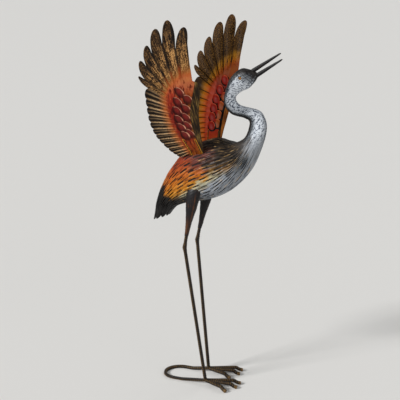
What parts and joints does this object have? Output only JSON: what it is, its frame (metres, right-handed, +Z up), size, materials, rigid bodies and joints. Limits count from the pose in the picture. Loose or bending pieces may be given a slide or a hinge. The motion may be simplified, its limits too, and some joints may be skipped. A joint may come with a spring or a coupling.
{
  "type": "crane garden statue",
  "caption": "Painted sheet-steel crane standing on ribbed-bar legs, wings raised and beak open, a freestanding garden ornament.",
  "frame": {"origin": "on the floor, below the middle of the bounding box", "axes": "+X the way the crane faces, +Y to its left, +Z up"},
  "size_m": [0.4216, 0.4964, 1.1502],
  "materials": {
    "body_paint": "satin",
    "wing_paint": "gloss",
    "beak_paint": "satin",
    "thigh_paint": "satin",
    "bar_paint": "satin"
  },
  "bodies": {
    "root": {"body_shell": "body_paint", "upper_beak": "beak_paint", "lower_beak": "beak_paint", "right_wing": "wing_paint", "left_wing": "wing_paint", "right_thigh": "thigh_paint", "left_thigh": "thigh_paint", "right_leg": "bar_paint", "left_leg": "bar_paint", "heel_loop": "bar_paint", "right_long_toe": "bar_paint", "right_middle_toe": "bar_paint", "right_short_toe": "bar_paint", "left_long_toe": "bar_paint", "left_middle_toe": "bar_paint", "left_short_toe": "bar_paint"}
  },
  "joints": []
}
